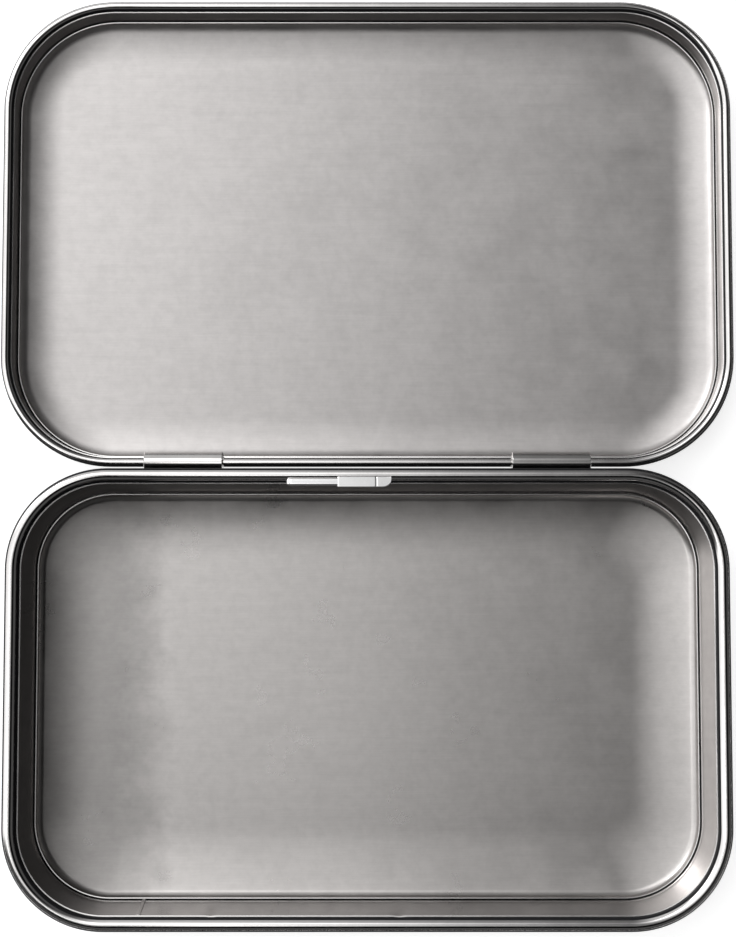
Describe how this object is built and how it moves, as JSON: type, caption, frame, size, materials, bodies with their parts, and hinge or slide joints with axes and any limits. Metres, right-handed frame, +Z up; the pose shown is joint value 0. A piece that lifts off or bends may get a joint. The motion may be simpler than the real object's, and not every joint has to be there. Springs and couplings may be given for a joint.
{
  "type": "colored pencil tin",
  "caption": "Flat rounded rectangular tinplate box for pencils, open flat: a deeper base and a shallower lid with rolled rims, joined by a wire hinge, with a small clip inside the rear rim.",
  "frame": {"origin": "on the surface the open tin lies on, under the middle of the open tin", "axes": "+X to the right along the hinge, +Y from the base towards the open lid, +Z up out of the insides"},
  "size_m": [0.2064, 0.2602, 0.0194],
  "materials": {
    "base_wall": "brushed tinplate with a polished rolled rim",
    "base_floor": "fine brushed tinplate",
    "lid_skirt": "brushed tinplate with a polished rolled rim",
    "lid_panel": "fine brushed tinplate",
    "hinge_wire": "bright drawn wire",
    "left_hinge_leaf": "polished",
    "right_hinge_leaf": "polished",
    "clip_foot": "polished",
    "clip_arm": "polished",
    "clip_pad": "polished",
    "clip_end": "polished"
  },
  "bodies": {
    "base": {"base_wall": "base_wall", "base_floor": "base_floor", "left_hinge_leaf": "left_hinge_leaf", "right_hinge_leaf": "right_hinge_leaf", "clip_foot": "clip_foot", "clip_arm": "clip_arm", "clip_pad": "clip_pad", "clip_end": "clip_end"},
    "lid": {"lid_skirt": "lid_skirt", "lid_panel": "lid_panel", "hinge_wire": "hinge_wire"}
  },
  "joints": [
    {"name": "lid_hinge", "type": "hinge", "parent": "base", "child": "lid", "pos_m": [0, -0.00162, 0.01086], "axis": [1, 0, 0], "range_deg": [0, 180]}
  ]
}
